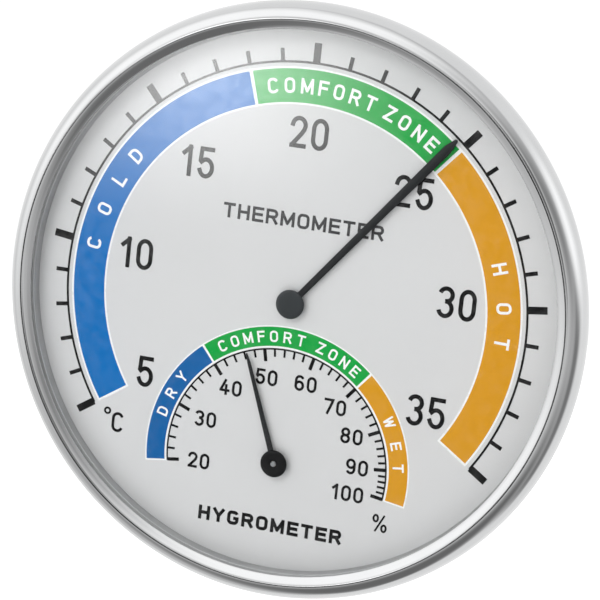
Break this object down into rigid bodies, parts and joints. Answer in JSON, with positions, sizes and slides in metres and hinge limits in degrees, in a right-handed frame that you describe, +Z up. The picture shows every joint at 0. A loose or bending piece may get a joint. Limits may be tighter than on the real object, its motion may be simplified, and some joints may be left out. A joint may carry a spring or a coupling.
{
  "type": "dial hygrometer",
  "caption": "Round wall dial instrument with a polished steel bezel, an upper temperature pointer, a lower humidity pointer and a vented rear case hung on a keyhole.",
  "frame": {"origin": "centre of the rear face that rests on the wall, on the axis of the dial", "axes": "+Z up, towards the top of the dial; the dial faces -Y; +X to the right as the dial is read; +Y into the wall"},
  "size_m": [0.13, 0.0212, 0.13],
  "materials": {
    "steel": "polished",
    "glass": "clear",
    "seal": "matte",
    "aluminium": "satin",
    "dial": "satin lacquer, printed scales",
    "shell": "fine moulded grain",
    "carrier": "moulded",
    "zinc": "zinc plated",
    "brass": "rolled",
    "bimetal": "rolled strip",
    "hygro_strip": "rolled strip with a thin sensing coat",
    "pointer": "satin black paint",
    "hub": "satin dark grey paint"
  },
  "bodies": {
    "case": {"bezel_ring": "steel", "lens": "glass", "lens_gasket": "seal", "spacer_ring": "aluminium", "dial_plate": "dial", "rear_shell": "shell", "movement_carrier": "carrier", "case_screw_1": "zinc", "case_screw_2": "zinc", "case_screw_3": "zinc", "thermo_front_plate": "brass", "thermo_bridge": "brass", "thermo_pillar_left": "brass", "thermo_pillar_right": "brass", "thermo_frame_screw_left": "zinc", "thermo_frame_screw_right": "zinc", "thermo_front_bush": "brass", "thermo_rear_bush": "brass", "hygro_front_plate": "brass", "hygro_bridge": "brass", "hygro_pillar_left": "brass", "hygro_pillar_right": "brass", "hygro_frame_screw_left": "zinc", "hygro_frame_screw_right": "zinc", "hygro_front_bush": "brass", "hygro_rear_bush": "brass"},
    "thermo_regulator": {"thermo_regulator": "zinc", "thermo_coil_pin": "brass", "thermo_coil": "bimetal"},
    "thermo_needle": {"thermo_staff": "zinc", "thermo_collet": "brass", "thermo_pointer": "pointer", "thermo_pointer_hub": "hub"},
    "hygro_regulator": {"hygro_regulator": "zinc", "hygro_coil_pin": "brass", "hygro_coil": "hygro_strip"},
    "hygro_needle": {"hygro_staff": "zinc", "hygro_collet": "brass", "hygro_pointer": "pointer", "hygro_pointer_hub": "hub"}
  },
  "joints": [
    {"name": "thermo_regulator_turn", "type": "hinge", "parent": "case", "child": "thermo_regulator", "pos_m": [0, 0, 0], "axis": [0, 1, 0], "range_deg": [-10, 10]},
    {"name": "thermo_needle_turn", "type": "hinge", "parent": "thermo_regulator", "child": "thermo_needle", "pos_m": [0, 0, 0], "axis": [0, 1, 0], "range_deg": [-162.75, 84.75], "stiffness_Nm_per_rad": 0.004, "deforming": ["thermo_coil"]},
    {"name": "hygro_regulator_turn", "type": "hinge", "parent": "case", "child": "hygro_regulator", "pos_m": [0, 0, -0.03536], "axis": [0, 1, 0], "range_deg": [-10, 10]},
    {"name": "hygro_needle_turn", "type": "hinge", "parent": "hygro_regulator", "child": "hygro_needle", "pos_m": [0, 0, -0.03536], "axis": [0, 1, 0], "range_deg": [-77.5, 119.3], "stiffness_Nm_per_rad": 0.004, "deforming": ["hygro_coil"]}
  ]
}
